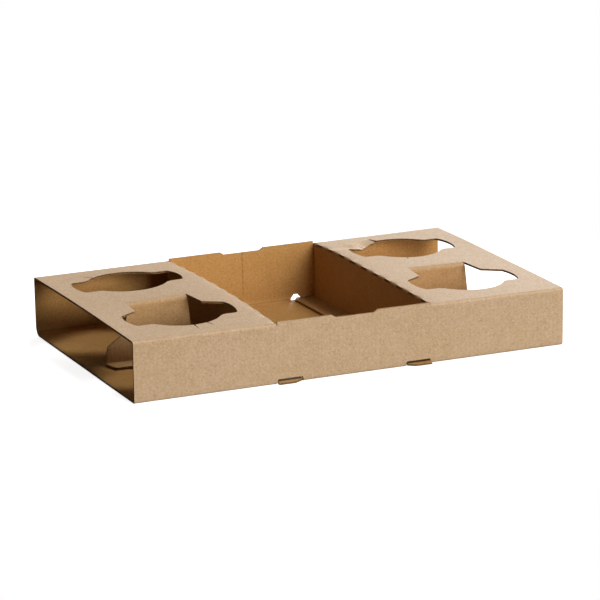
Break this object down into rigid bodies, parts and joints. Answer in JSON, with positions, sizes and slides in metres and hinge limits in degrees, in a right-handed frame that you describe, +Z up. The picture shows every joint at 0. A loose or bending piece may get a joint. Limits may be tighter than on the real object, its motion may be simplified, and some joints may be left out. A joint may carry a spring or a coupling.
{
  "type": "cardboard cup carrier",
  "caption": "Flat folded sleeve of corrugated kraft board with an open well in the middle and round eared cup holes at either side, for carrying drinks in paper cups.",
  "frame": {"origin": "middle of the underside, on the surface that the carrier stands on", "axes": "+X along the length, towards the right open end, +Y from the front wall to the back wall, +Z up"},
  "size_m": [0.34, 0.204, 0.0464],
  "materials": {
    "kraft_board": "uncoated brown kraft, matt and fibrous, with faint flute lines"
  },
  "bodies": {
    "root": {"cup_carrier": "kraft_board"}
  },
  "joints": []
}
